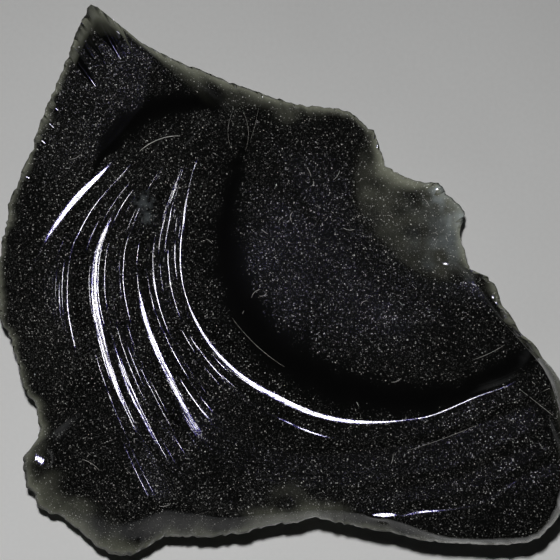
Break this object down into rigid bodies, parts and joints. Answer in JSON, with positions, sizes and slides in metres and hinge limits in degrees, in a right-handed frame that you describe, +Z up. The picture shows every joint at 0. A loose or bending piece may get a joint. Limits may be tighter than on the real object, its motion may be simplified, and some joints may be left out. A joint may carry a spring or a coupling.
{
  "type": "obsidian chunk",
  "caption": "Broken flake of black volcanic glass with a dished upper face, fanned shock ripples, sharp thin edges and a flat facet underneath to rest on.",
  "frame": {"origin": "under the middle of the stone, on the plane that it rests on", "axes": "+X along the longest side of the stone, +Y towards its pointed corner, +Z up from the resting facet"},
  "size_m": [0.0718, 0.0698, 0.0124],
  "materials": {
    "obsidian": "glossy black volcanic glass under fine pale dust, olive grey where the edge is thin"
  },
  "bodies": {
    "root": {"obsidian_chunk": "obsidian"}
  },
  "joints": []
}
